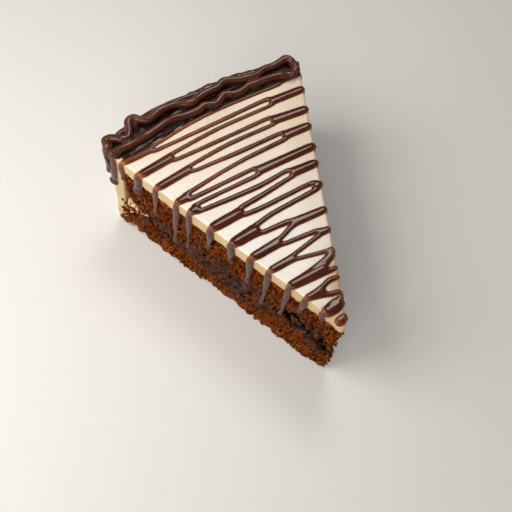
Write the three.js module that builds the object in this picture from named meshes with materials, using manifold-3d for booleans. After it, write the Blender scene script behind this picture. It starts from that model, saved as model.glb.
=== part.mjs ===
// A slice of chocolate layer cake, in millimetres, +Z up, tip towards -Y and rim towards +Y.
// Two sponge layers lie on each other with a dark fudge filling between them, and the filling gives way
// to a seam of cream near the rim. Cream covers the top and the outer wall, and a chocolate border of one
// glaze band and two wavy ropes runs along the rim.

import * as THREE from "three";
import { mergeVertices } from "three/addons/utils/BufferGeometryUtils.js";
import Module from "manifold-3d";

// The cake that the slice was cut from: its rim is an arc, and the two knife cuts met off its middle.
const CAKE_RADIUS = 115.5;
const CAKE_CENTRE = new THREE.Vector2(6, -7.9);
const SLICE_ANGLE = THREE.MathUtils.degToRad(45);

// Heights of the layers above the plate, at mid-length of the slice.
const LOWER_SPONGE_TOP = 16.6;
const FILLING_TOP = 20.9;
const UPPER_SPONGE_TOP = 40.3;
const CREAM_TOP = 46.8;
const TOUCH_GAP = 0.3;

// The cream.
const WALL_THICKNESS = 6.6;
const WALL_FOOT = 0.6;
const SEAM_INSET = 18.5;
const SEAM_THICKNESS = 1.7;

// How blunt each layer is at the tip, and how far the tip bulges or hangs.
const CREAM_TIP_CUT = 1.6;
const SPONGE_TIP_CUT = 2.4;
const FILLING_TIP_CUT = 1.7;
const TIP_ROUNDING = 0.9;
const TIP_SAG = 0.8;
const TIP_REACH = 30;
const POCKET_RISE = 4.2;
const POCKET_DROP = 2.6;
const TIP_LIFT = 2.2;
const TIP_LIFT_REACH = 14;

// The chip out of the lower sponge where the left cut meets the rim.
const CHIP_DEPTH = 3.2;
const CHIP_REACH = 13;

// The chocolate border.
const BAND_FRONT = 95.6;
const BAND_BOW = 2.4;
const BAND_SKEW = 0.026;
const BAND_INSET = 0.6;
const BAND_THICKNESS = 1.1;
const ROPE_WIDTH = 2.9;
const ROPE_HEIGHT = 2.7;
const ROPE_SIDES = 10;
const ROPE_END_TAPER = 3;
const ROPE_REACH = 0.93;

// How finely the curved solids are divided.
const ACROSS = 10;
const ALONG = 25;
const UP = 4;

const COLOURS = {
  sponge: 0x6b3a1c,
  fudge: 0x2a1410,
  cream: 0xf1e4c6,
  chocolate: 0x3b1d14,
};

const wasm = await Module();
wasm.setup();

const smooth = (from, to, x) => THREE.MathUtils.smoothstep(x, from, to);

// 1 at the tip, falling to 0 at the given distance from it.
const nearTip = (y, reach) => 1 - smooth(0, reach, y);

// Slow unevenness of a baked or spread surface: a few long waves, from -1 to 1.
function swell(x, y, phase) {
  const long = Math.sin(x * 0.11 + y * 0.07 + phase);
  const short = Math.sin(y * 0.23 - x * 0.17 + 2.1 * phase);
  return 0.6 * long + 0.4 * short;
}

// The point where a ray from the tip, at an angle from the slice's midline, meets the rim less an inset.
function rimPoint(angle, inset) {
  const ray = new THREE.Vector2(Math.sin(angle), Math.cos(angle));
  const along = ray.dot(CAKE_CENTRE);
  const radius = CAKE_RADIUS - inset;
  const reach = along + Math.sqrt(along * along + radius * radius - CAKE_CENTRE.lengthSq());
  return ray.multiplyScalar(reach);
}

// The blunt front edge of a layer, from the left cut (across = -1) to the right cut (across = 1).
function tipPoint(across, cut) {
  const half = SLICE_ANGLE / 2;
  const x = across * cut * Math.tan(half);
  const y = cut - TIP_ROUNDING * Math.cos((across * Math.PI) / 2);
  return new THREE.Vector2(x, y);
}

// Plan of a layer: across runs from the left cut to the right cut, along from front to back.
function layerPlan({ tipCut, rimInset, frontEdge }) {
  return (across, along) => {
    const angle = (across * SLICE_ANGLE) / 2;
    const front = frontEdge ? frontEdge(angle) : tipPoint(across, tipCut);
    return front.clone().lerp(rimPoint(angle, rimInset), along);
  };
}

// The front edge of the border: nearly straight, bowed a little towards the rim and a little askew.
function bandFront(angle) {
  const bow = BAND_BOW * Math.cos((angle / SLICE_ANGLE) * Math.PI);
  const y = (BAND_FRONT + bow) / (1 - BAND_SKEW * Math.tan(angle));
  return new THREE.Vector2(y * Math.tan(angle), y);
}

// Sideways wander of a cut face: the crumb tears a little out of the knife's plane.
function tear(y, z, side, amount) {
  const wave = Math.sin(y * 0.31 + z * 0.19 + side) + 0.7 * Math.sin(y * 0.83 - z * 0.41 + 2 * side);
  return (amount * wave * smooth(0, 12, y)) / 1.7;
}

// A closed solid over a plan, between a floor height and a roof height that are functions of x and y.
function layerSolid({ plan, floor, roof, torn = 0, along = ALONG }) {
  const positions = [];
  const indices = [];
  const shape = [ACROSS + 1, along + 1, UP + 1];
  const ids = new Map();

  function vertex(i, j, k) {
    const key = (i * shape[1] + j) * shape[2] + k;
    if (ids.has(key)) return ids.get(key);
    const across = (2 * i) / ACROSS - 1;
    const p = plan(across, j / along);
    const z = THREE.MathUtils.lerp(floor(p.x, p.y), roof(p.x, p.y), k / UP);
    const side = i === 0 ? -1 : 1;
    const onCut = i === 0 || i === ACROSS;
    const shift = onCut ? side * (tear(p.y, z, side, torn) - torn) : 0;
    positions.push(p.x + shift, p.y, z);
    ids.set(key, ids.size);
    return ids.size - 1;
  }

  // One grid of quads, with corner(a, b) giving each vertex, its faces turned outwards.
  function skin(countA, countB, corner) {
    for (let a = 0; a < countA; a++) {
      for (let b = 0; b < countB; b++) {
        const quad = [corner(a, b), corner(a + 1, b), corner(a + 1, b + 1), corner(a, b + 1)];
        indices.push(quad[0], quad[1], quad[2], quad[0], quad[2], quad[3]);
      }
    }
  }

  skin(ACROSS, along, (a, b) => vertex(a, b, UP));
  skin(along, ACROSS, (a, b) => vertex(b, a, 0));
  skin(ACROSS, UP, (a, b) => vertex(a, 0, b));
  skin(UP, ACROSS, (a, b) => vertex(b, along, a));
  skin(UP, along, (a, b) => vertex(0, b, a));
  skin(along, UP, (a, b) => vertex(ACROSS, a, b));
  return closedGeometry(positions, indices);
}

function closedGeometry(positions, indices) {
  const geometry = new THREE.BufferGeometry();
  geometry.setAttribute("position", new THREE.Float32BufferAttribute(positions, 3));
  geometry.setIndex(indices);
  return geometry;
}

// A rope of piped chocolate along a path: a flattened round section that tapers at both ends.
function ropeSolid(points, rest) {
  const path = new THREE.CatmullRomCurve3(points, false, "centripetal");
  const length = path.getLength();
  const steps = Math.round(length / 1.9);
  const positions = [];
  const indices = [];
  const up = new THREE.Vector3(0, 0, 1);

  for (let i = 0; i <= steps; i++) {
    const centre = path.getPointAt(i / steps);
    const side = new THREE.Vector3().crossVectors(path.getTangentAt(i / steps), up).normalize();
    const toEnd = Math.min(i, steps - i) * (length / steps);
    const taper = 0.55 + 0.45 * smooth(0, ROPE_END_TAPER, toEnd);
    for (let k = 0; k < ROPE_SIDES; k++) {
      const turn = (2 * Math.PI * k) / ROPE_SIDES;
      const out = (Math.cos(turn) * ROPE_WIDTH * taper) / 2;
      const rise = ((1 + Math.sin(turn)) * ROPE_HEIGHT * taper) / 2;
      positions.push(centre.x + side.x * out, centre.y + side.y * out, rest + rise);
    }
  }
  for (let i = 0; i < steps; i++) {
    for (let k = 0; k < ROPE_SIDES; k++) {
      const next = (k + 1) % ROPE_SIDES;
      const [a, b] = [i * ROPE_SIDES + k, i * ROPE_SIDES + next];
      indices.push(a, a + ROPE_SIDES, b + ROPE_SIDES, a, b + ROPE_SIDES, b);
    }
  }
  for (let k = 1; k < ROPE_SIDES - 1; k++) {
    const last = steps * ROPE_SIDES;
    indices.push(0, k, k + 1, last, last + k + 1, last + k);
  }
  return closedGeometry(positions, indices);
}

// Joins closed geometries into one body.
function join(...geometries) {
  const solids = geometries.map((geometry) => {
    const bare = geometry.clone();
    bare.deleteAttribute("normal");
    bare.deleteAttribute("uv");
    const merged = mergeVertices(bare, 1e-4);
    const vertProperties = merged.attributes.position.array;
    const triVerts = new Uint32Array(merged.index.array);
    return new wasm.Manifold(new wasm.Mesh({ numProp: 3, vertProperties, triVerts }));
  });
  const mesh = solids.reduce((whole, solid) => whole.add(solid)).getMesh();
  return closedGeometry([...mesh.vertProperties], [...mesh.triVerts]);
}

// A rope's path along the border, from how far it lies in from the rim at even steps.
function borderPath(insets) {
  const reach = (ROPE_REACH * SLICE_ANGLE) / 2;
  return insets.map((inset, i) => {
    const angle = THREE.MathUtils.lerp(-reach, reach, i / (insets.length - 1));
    const p = rimPoint(angle, inset);
    return new THREE.Vector3(p.x, p.y, 0);
  });
}

// Heights between the layers. The filling swells into pockets towards the tip and thins out at the rim.
const rimDepth = (x, y) => CAKE_RADIUS - CAKE_CENTRE.distanceTo(new THREE.Vector2(x, y));
const toSeam = (x, y) => 1 - smooth(SEAM_INSET - 2, SEAM_INSET + 8, rimDepth(x, y));
const seamMiddle = (LOWER_SPONGE_TOP + FILLING_TOP) / 2 + 1;
const lowerTop = (x, y) => {
  const filled = LOWER_SPONGE_TOP - POCKET_DROP * nearTip(y, TIP_REACH) + 0.5 * swell(x, y, 1);
  return THREE.MathUtils.lerp(filled, seamMiddle - SEAM_THICKNESS / 2, toSeam(x, y));
};
const fillingTop = (x, y) => {
  const filled = FILLING_TOP + POCKET_RISE * nearTip(y, TIP_REACH) + 0.5 * swell(x, y, 2);
  return THREE.MathUtils.lerp(filled, seamMiddle + SEAM_THICKNESS / 2, toSeam(x, y));
};
const upperTop = (x, y) => UPPER_SPONGE_TOP + 0.35 * swell(x, y, 3) - TIP_SAG * nearTip(y, 18);
const creamTop = (x, y) => CREAM_TOP + 0.2 * swell(x, y, 4) - TIP_SAG * nearTip(y, 18);
const raised = (height, amount) => (x, y) => height(x, y) + amount;

// The underside of the lower sponge: flat, but crumbled up at the tip and at the left corner of the rim.
const leftCorner = rimPoint(-SLICE_ANGLE / 2, WALL_THICKNESS);
const lowerFloor = (x, y) => {
  const fromCorner = leftCorner.distanceTo(new THREE.Vector2(x, y));
  const chip = CHIP_DEPTH * (1 - smooth(0, CHIP_REACH, fromCorner));
  return chip + TIP_LIFT * nearTip(y, TIP_LIFT_REACH);
};

const crumbPlan = layerPlan({ tipCut: SPONGE_TIP_CUT, rimInset: WALL_THICKNESS + TOUCH_GAP });
const spongeLower = layerSolid({
  plan: crumbPlan,
  floor: lowerFloor,
  roof: lowerTop,
  torn: 0.35,
});
const spongeUpper = layerSolid({
  plan: crumbPlan,
  floor: raised(fillingTop, TOUCH_GAP),
  roof: upperTop,
  torn: 0.35,
});

const filling = layerSolid({
  plan: layerPlan({ tipCut: FILLING_TIP_CUT, rimInset: SEAM_INSET + TOUCH_GAP }),
  floor: raised(lowerTop, TOUCH_GAP),
  roof: fillingTop,
  torn: 0.2,
});
const creamSeam = layerSolid({
  plan: layerPlan({
    frontEdge: (angle) => rimPoint(angle, SEAM_INSET),
    rimInset: WALL_THICKNESS + TOUCH_GAP,
  }),
  floor: raised(lowerTop, TOUCH_GAP),
  roof: fillingTop,
  torn: 0.3,
  along: 6,
});

const creamSlab = layerSolid({
  plan: layerPlan({ tipCut: CREAM_TIP_CUT, rimInset: 0 }),
  floor: raised(upperTop, TOUCH_GAP),
  roof: creamTop,
  torn: 0.1,
});
const creamWall = layerSolid({
  plan: layerPlan({ frontEdge: (angle) => rimPoint(angle, WALL_THICKNESS), rimInset: 0 }),
  floor: () => WALL_FOOT,
  roof: raised(creamTop, -1),
  torn: 0.1,
  along: 2,
});

const glazeBand = layerSolid({
  plan: layerPlan({ frontEdge: bandFront, rimInset: BAND_INSET }),
  floor: raised(creamTop, TOUCH_GAP),
  roof: raised(creamTop, TOUCH_GAP + BAND_THICKNESS),
  torn: 0.1,
  along: 4,
});

// The outer rope makes two hairpins over the rim near the left cut, then both ropes wander along it.
const ropeRest = CREAM_TOP + BAND_THICKNESS + 2 * TOUCH_GAP + 0.2;
const outerHairpins = [-1.5, -1.2, 1.3, -0.9, -2.4, 0.2, 0.9, 0.7];
const outerWaves = [0.9, 1.9, 3.3, 3.9, 3.5, 3.1, 3, 2.4, 1.6, 2.4, 3, 3, 2.4, 1.2, 0.7, 0.4, 0.4];
const innerStart = [2.9, 3.8, 5, 5.4, 5.7, 5.8, 5.9];
const innerWaves = [6.7, 7.7, 8, 7.6, 8.6, 7.3, 7.2, 7.6, 6.9, 6.6, 5.7, 5.4, 5.3, 5.4];
const ropeOuter = ropeSolid(borderPath([...outerHairpins, ...outerWaves]), ropeRest);
const ropeInner = ropeSolid(borderPath([...innerStart, ...innerWaves]), ropeRest);

const cake = new THREE.Group();
cake.name = "chocolate_cake_slice";

function addNode(name, geometry, colour) {
  const material = new THREE.MeshStandardMaterial({ color: colour, roughness: 0.7 });
  const mesh = new THREE.Mesh(geometry, material);
  mesh.name = name;
  cake.add(mesh);
}

addNode("sponge_lower", spongeLower, COLOURS.sponge);
addNode("filling", filling, COLOURS.fudge);
addNode("cream_seam", creamSeam, COLOURS.cream);
addNode("sponge_upper", spongeUpper, COLOURS.sponge);
addNode("cream", join(creamSlab, creamWall), COLOURS.cream);
addNode("border_band", glazeBand, COLOURS.chocolate);
addNode("border_rope_outer", ropeOuter, COLOURS.chocolate);
addNode("border_rope_inner", ropeInner, COLOURS.chocolate);

// The origin is the middle of the base.
const box = new THREE.Box3().setFromObject(cake);
const middle = box.getCenter(new THREE.Vector3());
cake.position.set(-middle.x, -middle.y, -box.min.z);

export default cake;
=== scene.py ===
# %% [markdown]
# # A slice of chocolate layer cake
# A tall cake was built in a ring: sponge, dark fudge, sponge, then cream over the top and down the wall.
# Melted chocolate went on last, as ropes along the rim and as a zig-zag that ran over the edges. The
# plain solids of the slice come in first as a frame. Most pieces made here take the place of one or
# more of them, at the same size and in the same place; the loose crumbs, the flecks of cream and the
# sauce are added to them.

from itertools import product
from math import cos, pi, radians, sin, sqrt, tan

import bpy
import numpy as np
from mathutils import Matrix, Vector


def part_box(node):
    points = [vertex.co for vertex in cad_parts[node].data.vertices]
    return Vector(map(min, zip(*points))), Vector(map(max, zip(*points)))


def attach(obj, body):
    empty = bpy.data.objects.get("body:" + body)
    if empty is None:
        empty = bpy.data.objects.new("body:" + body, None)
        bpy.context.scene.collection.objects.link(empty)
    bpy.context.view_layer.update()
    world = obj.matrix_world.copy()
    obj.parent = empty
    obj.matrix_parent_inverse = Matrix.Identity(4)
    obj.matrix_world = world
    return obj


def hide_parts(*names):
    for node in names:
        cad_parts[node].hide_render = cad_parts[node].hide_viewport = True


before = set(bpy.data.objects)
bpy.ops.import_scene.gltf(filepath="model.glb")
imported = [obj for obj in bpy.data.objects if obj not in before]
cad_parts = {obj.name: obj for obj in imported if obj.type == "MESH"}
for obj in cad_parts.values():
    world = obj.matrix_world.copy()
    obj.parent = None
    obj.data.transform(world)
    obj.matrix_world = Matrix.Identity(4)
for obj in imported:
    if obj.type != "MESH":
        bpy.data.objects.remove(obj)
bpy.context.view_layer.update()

# %% [markdown]
# ## Camera
# The eye is that of someone about to eat: high above the slice, to the left of its tip, with the head a
# little tilted. A direction is given by two angles, round from the tip and up from the table, so that
# the same function can place the lamps.

# %% Camera
AIM = Vector((0.0001, 0.0012, 0.0))
AZIMUTH, ELEVATION, ROLL = radians(-39.9), radians(63.9), radians(11.0)
DISTANCE = 0.3423
LENS = 59.8


def from_angles(azimuth, elevation):
    """Unit vector from the slice towards someone at this azimuth and elevation."""
    return Vector((sin(azimuth) * cos(elevation), -cos(azimuth) * cos(elevation), sin(elevation)))


def make_camera():
    back = from_angles(AZIMUTH, ELEVATION)
    camera = bpy.data.objects.new("camera", bpy.data.cameras.new("camera"))
    camera.data.lens = LENS
    camera.location = AIM + back * DISTANCE
    level = (-back).to_track_quat("-Z", "Y").to_matrix().to_4x4()
    camera.matrix_world = Matrix.Translation(camera.location) @ level @ Matrix.Rotation(ROLL, 4, "Z")
    bpy.context.scene.collection.objects.link(camera)
    bpy.context.scene.camera = camera
    return camera


camera = make_camera()
print("camera at, mm:", [round(1000 * v) for v in camera.location])

# %% [markdown]
# ## Light and floor
# Chocolate is nearly black, so most of what the eye gets from it is what it mirrors. One soft box
# stands where flat sauce mirrors it to the eye and draws the long shine on the pools. A second, close
# on the left, shapes the ropes, and a large one further off in front softly lights the left cut. The
# floor is plain.

# %% Light and floor
ROOM_LIGHT = 0.15
SOFT_BOXES = {
    # name: (azimuth, elevation, distance, size, power in watts)
    "soft_box_behind": (143, 62, 0.75, 0.23, 1.2),
    "soft_box_left": (-112, 48, 0.38, 0.26, 1.1),
    "soft_box_front": (-50, 42, 0.9, 0.6, 2.9),
}


def make_lights():
    world = bpy.data.worlds.new("room")
    bpy.context.scene.world = world
    world.use_nodes = True
    background = world.node_tree.nodes["Background"]
    background.inputs["Color"].default_value = (1.0, 0.985, 0.96, 1)
    background.inputs["Strength"].default_value = ROOM_LIGHT
    for name, (azimuth, elevation, distance, size, power) in SOFT_BOXES.items():
        lamp = bpy.data.lights.new(name, "AREA")
        lamp.size, lamp.energy = size, power
        lamp.color = (1.0, 0.98, 0.95)
        ob = bpy.data.objects.new(name, lamp)
        towards = from_angles(radians(azimuth), radians(elevation))
        ob.location = towards * distance
        ob.rotation_euler = (-towards).to_track_quat("-Z", "Y").to_euler()
        bpy.context.scene.collection.objects.link(ob)


def make_floor():
    mesh = bpy.data.meshes.new("floor")
    half = 3.0
    corners = [(-half, -half, 0), (half, -half, 0), (half, half, 0), (-half, half, 0)]
    mesh.from_pydata(corners, [], [(0, 1, 2, 3)])
    floor = bpy.data.objects.new("floor", mesh)
    material = bpy.data.materials.new("pale floor")
    material.use_nodes = True
    shader = material.node_tree.nodes["Principled BSDF"]
    shader.inputs["Base Color"].default_value = (0.72, 0.70, 0.67, 1)
    shader.inputs["Roughness"].default_value = 0.55
    mesh.materials.append(material)
    bpy.context.scene.collection.objects.link(floor)


make_lights()
make_floor()
bpy.context.scene.view_settings.view_transform = "Standard"
print("lights:", ["room"] + list(SOFT_BOXES))

# %% [markdown]
# ## The slice's own coordinates
# Everything below is worked out in millimetres from the point where the two cuts meet, with y running
# to the rim and z up. The rim is an arc of the whole cake. The knife met the first cut a little beside
# the cake's middle, so the right cut is longer than the left. A few functions say how far a point lies
# outside each cut and outside the rim; all the shapes below are built from them.

# %% Plan of the slice
CAKE_RADIUS, CAKE_CENTRE = 115.5, (6.0, -7.9)
HALF_ANGLE = radians(22.5)
WALL = 6.6
# The gap between a layer and the next one. The fudge and the thin seam are spread into it.
LAYER_GAP = 0.3


def rim_point(angle, inset=0.0):
    """Point on the rim, less an inset, in the direction of this angle from the slice's midline."""
    ray = (sin(angle), cos(angle))
    along = ray[0] * CAKE_CENTRE[0] + ray[1] * CAKE_CENTRE[1]
    centre_2 = CAKE_CENTRE[0] ** 2 + CAKE_CENTRE[1] ** 2
    reach = along + sqrt(along**2 + (CAKE_RADIUS - inset) ** 2 - centre_2)
    return np.array([ray[0] * reach, ray[1] * reach])


cream_low, cream_high = (np.array(corner) * 1000 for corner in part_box("cream"))
LEFT_END, RIGHT_END = rim_point(-HALF_ANGLE), rim_point(HALF_ANGLE)
APEX_X = (cream_low[0] + cream_high[0] - LEFT_END[0] - RIGHT_END[0]) / 2
APEX = np.array([APEX_X, cream_high[1] - CAKE_CENTRE[1] - CAKE_RADIUS, 0.0])
print("the cuts meet at, mm:", APEX.round(2))
print("cut lengths, mm:", np.hypot(*LEFT_END).round(1), np.hypot(*RIGHT_END).round(1))


def room_round(box, margin):
    """A frame box in mm from the point where the cuts meet, with a margin left round it."""
    low, high = (np.array(corner) * 1000 - APEX for corner in box)
    return low - margin, high + margin


def smooth_step(low, high, x):
    t = np.clip((x - low) / (high - low), 0, 1)
    return t * t * (3 - 2 * t)


def past_left(x, y):
    """How far outside the left cut a point lies."""
    return -x * cos(HALF_ANGLE) - y * sin(HALF_ANGLE)


def past_right(x, y):
    return x * cos(HALF_ANGLE) - y * sin(HALF_ANGLE)


def past_cuts(x, y):
    """How far outside the nearer of the two cuts a point lies, negative between them."""
    return np.maximum(past_left(x, y), past_right(x, y))


def past_rim(x, y, inset=0.0):
    return np.hypot(x - CAKE_CENTRE[0], y - CAKE_CENTRE[1]) - CAKE_RADIUS + inset


# %% [markdown]
# ## Heights of the layers
# Baked sponge domes and sinks a little, and spread fillings follow it. Each boundary between two layers
# is a height over the plan with a slow swell in it. Towards the wall the fudge gives way to a thin seam
# of cream, so both boundaries close in on that seam. The tip has sagged a little.

# %% Heights of the layers
CREAM_TOP, UPPER_TOP, FILLING_TOP, LOWER_TOP = 46.8, 40.3, 20.9, 16.6
SEAM_INSET, SEAM_THICKNESS = 18.5, 1.7
SEAM_MIDDLE = (LOWER_TOP + FILLING_TOP) / 2 + 1


def swell(x, y, phase):
    """Slow unevenness of a baked or spread surface, from -1 to 1."""
    return 0.6 * np.sin(x * 0.11 + y * 0.07 + phase) + 0.4 * np.sin(y * 0.23 - x * 0.17 + 2.1 * phase)


def to_seam(x, y):
    """0 where the fudge is, 1 where the cream seam is."""
    return 1 - smooth_step(SEAM_INSET - 2, SEAM_INSET + 8, -past_rim(x, y))


def lower_top(x, y):
    filled = LOWER_TOP + 0.8 * (1 - smooth_step(0, 14, y)) + 0.5 * swell(x, y, 1)
    return filled + (SEAM_MIDDLE - SEAM_THICKNESS / 2 - filled) * to_seam(x, y)


def filling_top(x, y):
    filled = FILLING_TOP + 0.5 * swell(x, y, 2)
    return filled + (SEAM_MIDDLE + SEAM_THICKNESS / 2 - filled) * to_seam(x, y)


def tip_sag(y):
    return 0.8 * (1 - smooth_step(0, 18, y))


def upper_top(x, y):
    return UPPER_TOP + 0.35 * swell(x, y, 3) - tip_sag(y)


def cream_top(x, y):
    return CREAM_TOP + 0.2 * swell(x, y, 4) - tip_sag(y)


def outside_slice(x, y, z):
    """Height above the faces of the slice, negative inside it."""
    return np.maximum(past_cuts(x, y), np.maximum(z - cream_top(x, y), past_rim(x, y)))


for height in (lower_top, filling_top, upper_top, cream_top):
    print(height.__name__, "near the tip and near the rim, mm:", [height(0.0, y).round(1) for y in (5, 95)])

# %% [markdown]
# ## From a rule to a surface
# Crumb, smeared fudge and running sauce have no edges that could be modelled one by one. Each is written
# as a rule for how far a point lies outside the food, sampled on a block of small cubes. Two rules join
# by taking the smaller distance, and a soft minimum rounds the joint as surface tension does.

# %% A block of samples
FINE = 1.0
FAR = np.float32(50.0)


class Block:
    """A box of space cut into cubes, with the distance outside the food, in mm, at each corner."""

    def __init__(self, low, high, step):
        self.low, self.step = np.array(low, float), step * FINE
        counts = np.ceil((np.array(high) - self.low) / self.step).astype(int) + 1
        self.d = np.full(counts, FAR, np.float32)
        axes = (self.low[i] + self.step * np.arange(n) for i, n in enumerate(counts))
        self.axes = [axis.astype(np.float32) for axis in axes]

    def grid(self, window=(slice(None),) * 3):
        x, y, z = (axis[cut] for axis, cut in zip(self.axes, window))
        return x[:, None, None], y[None, :, None], z[None, None, :]

    def window(self, low, high):
        """The slices of the block that cover a smaller box."""
        first = np.floor((np.array(low) - self.low) / self.step).astype(int)
        last = np.ceil((np.array(high) - self.low) / self.step).astype(int) + 1
        shape = np.array(self.d.shape)
        return tuple(slice(a, b) for a, b in zip(np.clip(first, 0, shape), np.clip(last, 0, shape)))


def soft_union(a, b, blend):
    h = np.clip(0.5 + 0.5 * (b - a) / blend, 0, 1)
    return b + (a - b) * h - blend * h * (1 - h)


def soft_cut(a, b, blend):
    """Where both a and b are inside: their overlap, with its edge rounded over blend mm."""
    return -soft_union(-a, -b, blend)


corner = soft_union(0.3, 0.3, 1.0)
print("two faces that are both 0.3 mm away, joined over 1 mm, are", round(float(corner), 3), "mm away")

# %% [markdown]
# ## Pulling a net over it
# A net of quads is pulled over the places where the rule passes zero: one vertex in each cube that the
# surface crosses, at the middle of its crossings, and one quad round each grid line that it crosses.
# Quads made this way are even in size, so later steps can smooth and measure them simply.

# %% Pull a net over the zero surface
def net(block):
    """Vertices in mm and quads facing outwards."""
    d = block.d
    inside = d < 0
    cells = np.array(d.shape) - 1
    ids, points, rings = [], [], []
    for axis, others in enumerate(((1, 2), (2, 0), (0, 1))):
        low = [slice(None)] * 3
        high = [slice(None)] * 3
        low[axis], high[axis] = slice(None, -1), slice(1, None)
        at = np.argwhere(inside[tuple(low)] != inside[tuple(high)])
        at = at[(at[:, others[0]] > 0) & (at[:, others[1]] > 0)]
        at = at[(at[:, others[0]] < cells[others[0]]) & (at[:, others[1]] < cells[others[1]])]
        above = at.copy()
        above[:, axis] += 1
        a, b = d[tuple(at.T)], d[tuple(above.T)]
        crossing = at.astype(float)
        crossing[:, axis] += a / (a - b)
        ring = []
        for step in ((0, 0), (-1, 0), (-1, -1), (0, -1)):
            cell = at.copy()
            cell[:, others[0]] += step[0]
            cell[:, others[1]] += step[1]
            ring.append((cell[:, 0] * cells[1] + cell[:, 1]) * cells[2] + cell[:, 2])
            points.append(crossing)
        ring = np.stack(ring, 1)
        ids.append(ring.T.ravel())
        rings.append(np.where((a < 0)[:, None], ring, ring[:, ::-1]))
    ids, points = np.concatenate(ids), np.concatenate(points)
    used, place = np.unique(ids, return_inverse=True)
    count = np.bincount(place)
    vertices = np.stack([np.bincount(place, points[:, i]) / count for i in range(3)], 1)
    quads = np.searchsorted(used, np.concatenate(rings))
    return block.low + vertices * block.step, quads


ball = Block((-6, -6, -6), (6, 6, 6), 0.5)
ball.d = np.sqrt(sum(axis**2 for axis in ball.grid())) - 5
ball_vertices, ball_quads = net(ball)
ball_radius = np.linalg.norm(ball_vertices, axis=1).mean()
print("a ball of 5 mm:", len(ball_quads), "quads, mean radius", ball_radius.round(3), "mm")

# %% [markdown]
# ## Smoothing and measuring a net
# Drawing each vertex towards its neighbours takes out the steps of the grid. The same average tells how
# deep a vertex lies in a pore, and the finishes read that from the vertices: pores get painted shade and
# crests a painted highlight. What lies buried between the layers is seen by nobody, so there the vertices
# are merged into a much coarser net.

# %% Smoothing and measuring a net
def relax(vertices, quads, rounds, amount=0.5):
    """Draws each vertex towards the middle of its neighbours, which takes out the steps of the grid."""
    n = len(vertices)
    here, there = np.concatenate([quads[:, [i, (i + 1) % 4]] for i in range(4)]).T
    count = np.maximum(np.bincount(here, minlength=n), 1)[:, None]
    for _ in range(rounds):
        total = np.stack([np.bincount(here, vertices[there, i], n) for i in range(3)], 1)
        vertices = vertices + amount * (total / count - vertices)
    return vertices


def outward(vertices, quads):
    """Unit vectors out of the surface at each vertex."""
    corner = vertices[quads]
    face = np.cross(corner[:, 2] - corner[:, 0], corner[:, 3] - corner[:, 1])
    corners, n = quads.ravel(), len(vertices)
    out = np.stack([np.bincount(corners, np.repeat(face[:, i], 4), n) for i in range(3)], 1)
    return out / (np.linalg.norm(out, axis=1, keepdims=True) + 1e-9)


def sunk(vertices, quads, rounds=10):
    """How far each vertex lies below the average of the surface around it, in mm."""
    return ((relax(vertices, quads, rounds) - vertices) * outward(vertices, quads)).sum(1)


def drop_loose_bits(vertices, quads, least=60):
    """Keeps only the bodies with at least so many quads: a carved field leaves a few loose flecks."""
    label = np.arange(len(vertices))
    while True:
        lowest = label[quads].min(1)
        new = label.copy()
        for i in range(4):
            np.minimum.at(new, quads[:, i], lowest)
        new = new[new]
        if (new == label).all():
            break
        label = new
    body = label[quads[:, 0]]
    names, counts = np.unique(body, return_counts=True)
    quads = quads[np.isin(body, names[counts >= least])]
    used, place = np.unique(quads, return_inverse=True)
    return vertices[used], place.reshape(quads.shape)


def thin_out(vertices, quads, values, depth, cell):
    """Merges the vertices that lie deeper than depth in the slice and share a cell of a coarse grid."""
    buried = outside_slice(*vertices.T) < -depth
    span = 2000
    cells = np.floor(vertices / cell).astype(np.int64) + span // 2
    keys = (cells[:, 0] * span + cells[:, 1]) * span + cells[:, 2]
    keys = np.where(buried, keys, -1 - np.arange(len(vertices)))
    _, place = np.unique(keys, return_inverse=True)
    count = np.bincount(place)
    vertices = np.stack([np.bincount(place, vertices[:, i]) / count for i in range(3)], 1)
    values = {key: np.bincount(place, numbers) / count for key, numbers in values.items()}
    return vertices, place[quads], values


ball_depth = sunk(ball_vertices, ball_quads).mean()
print("the ball's vertices lie below their surroundings by", ball_depth.round(3), "mm")

# %% [markdown]
# ## Noise and lumps
# Two kinds of randomness make food look like food. Smooth noise moves a face in and out, as spreading
# and baking do. The distance to scattered seeds makes round lumps with creases between them, as crumb
# is. Both come from small tables of seeded numbers, so each run gives the same cake.

# %% Noise and lumps
def noise(points, size, seed):
    """Smooth random values from -1 to 1 that change over about size mm."""
    table = np.random.default_rng(seed).uniform(-1, 1, (32, 32, 32)).astype(np.float32)
    q = points / np.asarray(size, np.float32)
    base = np.floor(q).astype(np.int32)
    f = (q - base).astype(np.float32)
    f = f * f * (3 - 2 * f)
    total = np.zeros(len(points), np.float32)
    for corner in product((0, 1), repeat=3):
        weight = np.prod(np.where(corner, f, 1 - f), axis=1)
        i, j, k = ((base + corner) % 32).T
        total += weight * table[i, j, k]
    return total


def lumps(points, size, seed):
    """Distance to the nearest of a set of scattered seeds, about size mm apart, as a share of size."""
    table = np.random.default_rng(seed).uniform(0.1, 0.9, (16, 16, 16, 3)).astype(np.float32)
    q = (points / np.asarray(size, np.float32)).astype(np.float32)
    base = np.floor(q).astype(np.int32)
    nearest = np.full(len(points), 9.0, np.float32)
    for corner in product((-1, 0, 1), repeat=3):
        cell = base + corner
        i, j, k = (cell % 16).T
        gap = cell + table[i, j, k] - q
        nearest = np.minimum(nearest, (gap * gap).sum(1))
    return np.sqrt(nearest)


def near_surface(block, reach):
    """The samples within reach of the surface: (their places in the block, their points)."""
    at = np.nonzero(np.abs(block.d) < reach)
    points = np.stack([block.axes[i][at[i]] for i in range(3)], 1)
    return at, points


sample = np.random.default_rng(1).uniform(0, 40, (2000, 3)).astype(np.float32)
sample_lumps = lumps(sample, 3.0, 1)
print("noise of 3 mm spreads by", noise(sample, 3.0, 1).std().round(2))
print("lumps of 3 mm run from", sample_lumps.min().round(2), "to", sample_lumps.max().round(2))

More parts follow.
